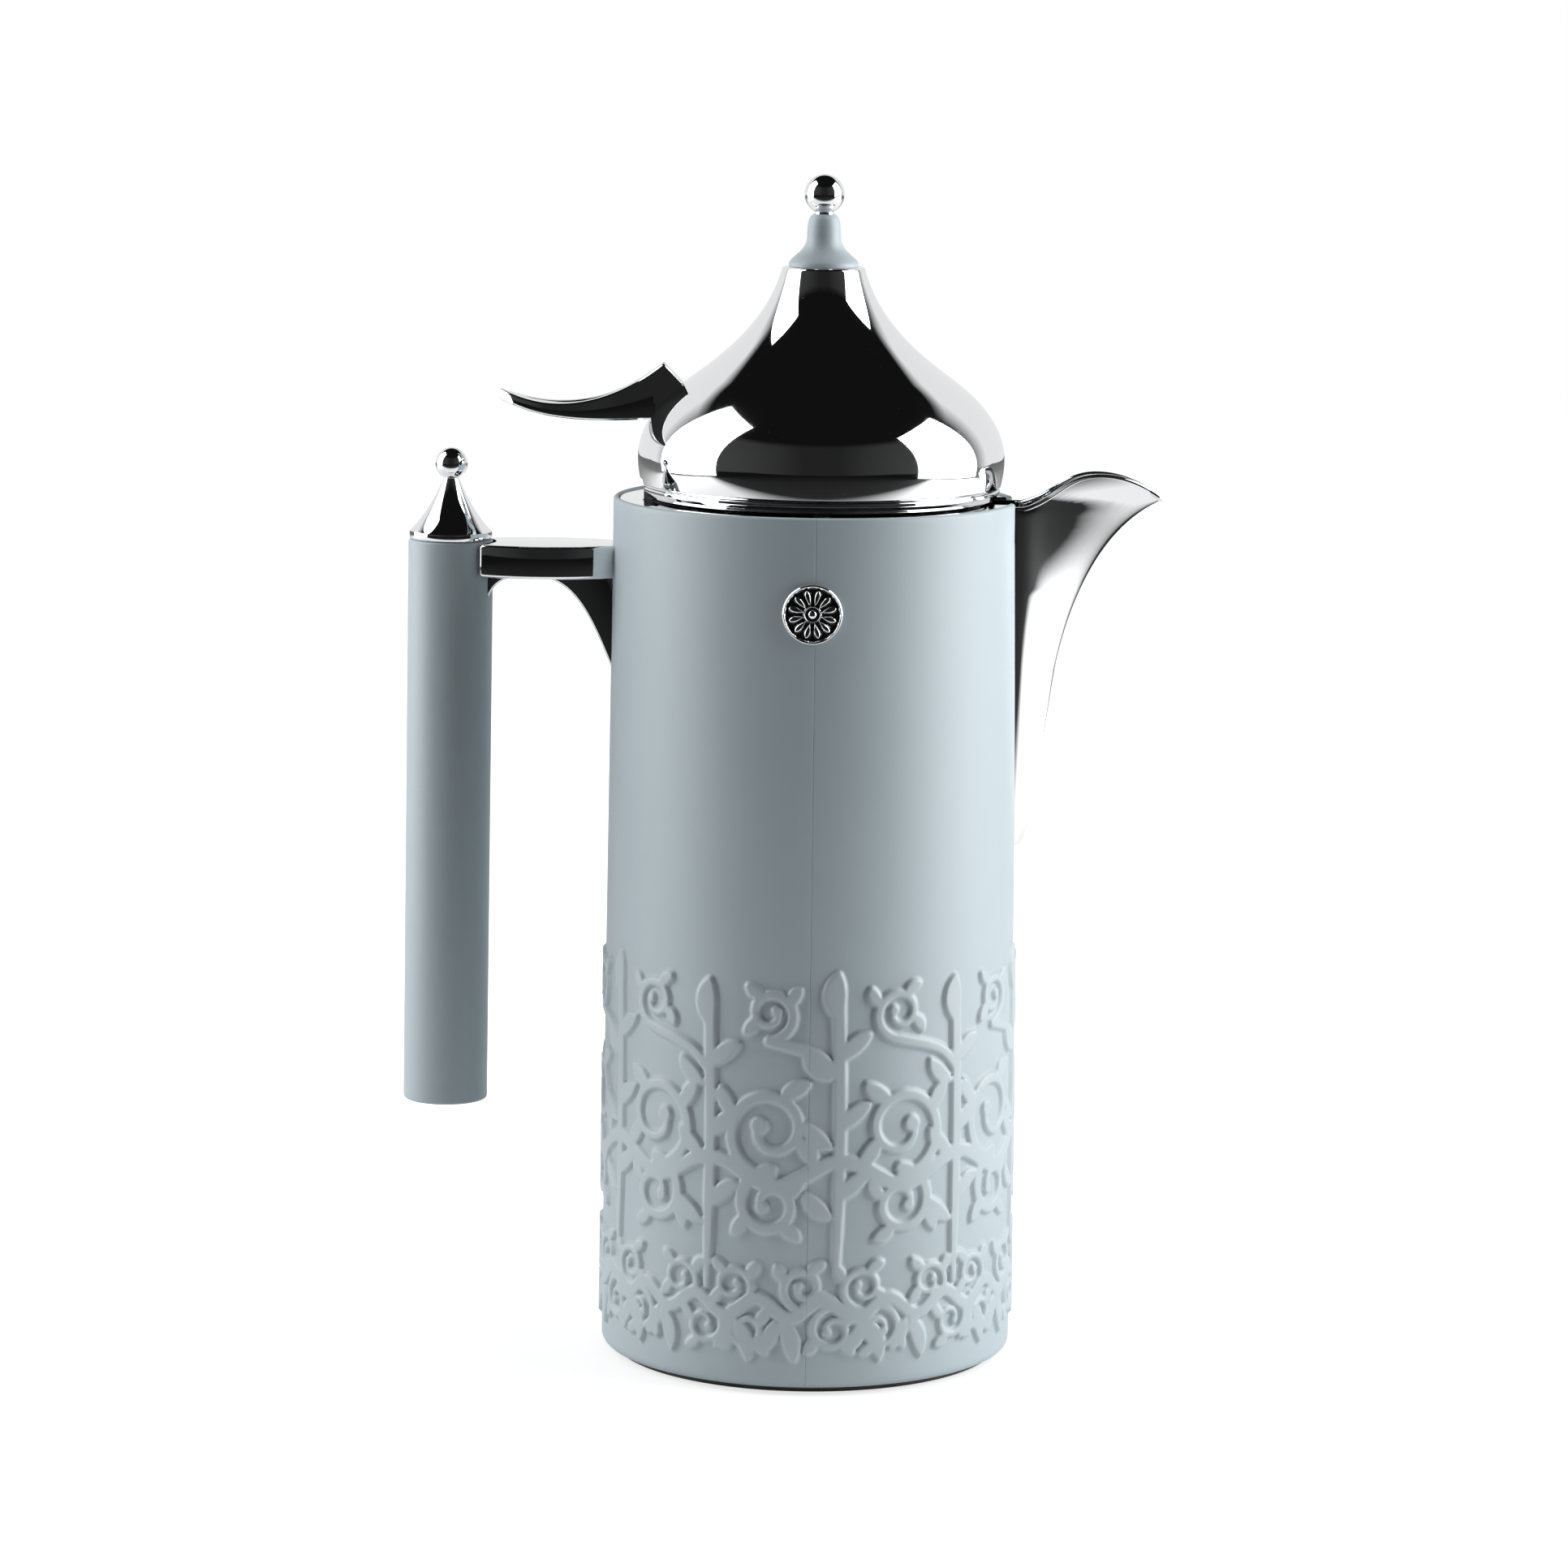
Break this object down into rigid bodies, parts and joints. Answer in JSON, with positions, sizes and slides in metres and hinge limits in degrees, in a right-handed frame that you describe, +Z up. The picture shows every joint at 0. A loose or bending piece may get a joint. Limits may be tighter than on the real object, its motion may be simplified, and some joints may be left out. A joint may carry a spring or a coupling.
{
  "type": "dallah coffee pot",
  "caption": "Tall insulated dallah coffee flask with soft-touch body, relief band, chrome dome lid with thumb lever, beak spout and upright side grip.",
  "frame": {"origin": "centre of the rubber foot's underside, on the body's axis", "axes": "+Z up along the body, +X towards the spout, -X towards the grip"},
  "size_m": [0.2068, 0.115, 0.3243],
  "materials": {
    "soft_touch": "matte soft-touch coating, grey blue",
    "chrome": "bright chrome plating on plastic and zinc",
    "black_plastic": "fine moulded texture",
    "rubber": "matte",
    "silicone": "translucent satin",
    "inner_plastic": "food-grade moulded plastic",
    "silvered_glass": "glass silvered on its vacuum side",
    "ceramic": "pressed fibre",
    "steel": "zinc plated",
    "foam": "closed-cell foam"
  },
  "bodies": {
    "flask": {"foot_pad": "rubber", "base_cover": "black_plastic", "refill_cushion": "rubber", "refill_outer_glass": "silvered_glass", "refill_inner_glass": "silvered_glass", "glass_spacers": "ceramic", "centring_ring": "rubber", "neck_gasket": "silicone", "body_shell": "soft_touch", "shell_relief": "soft_touch", "badge": "chrome", "pour_collar": "inner_plastic", "top_plate": "chrome", "deck_screws": "steel", "spout_shell": "chrome", "spout_gasket": "silicone", "spout_screws": "steel", "bracket_backing_plate": "steel", "handle_bracket": "chrome", "bracket_screws": "steel", "grip_core": "black_plastic", "grip_sleeve": "soft_touch", "grip_tie_rod": "steel", "grip_nut": "steel", "grip_end_plug": "soft_touch", "grip_finial": "chrome", "hinge_base_leaf": "steel", "hinge_screws": "steel", "hinge_pin": "steel", "hinge_spring": "steel"},
    "lid": {"lid_ring": "chrome", "hinge_lid_leaf": "steel", "lid_liner": "inner_plastic", "lid_seal": "silicone", "seal_retainer": "inner_plastic", "seal_screw": "steel", "lid_foam": "foam", "lid_dome": "chrome", "lid_screws": "steel", "thumb_lever": "chrome", "lever_screws": "steel", "finial_stud": "steel", "finial_cap": "soft_touch", "finial_ball": "chrome"}
  },
  "joints": [
    {"name": "lid_hinge", "type": "hinge", "parent": "flask", "child": "lid", "pos_m": [-0.0443, 0, 0.2392], "axis": [0, -1, 0], "range_deg": [0, 32], "stiffness_Nm_per_rad": 0.036, "springref_deg": -45.84}
  ]
}
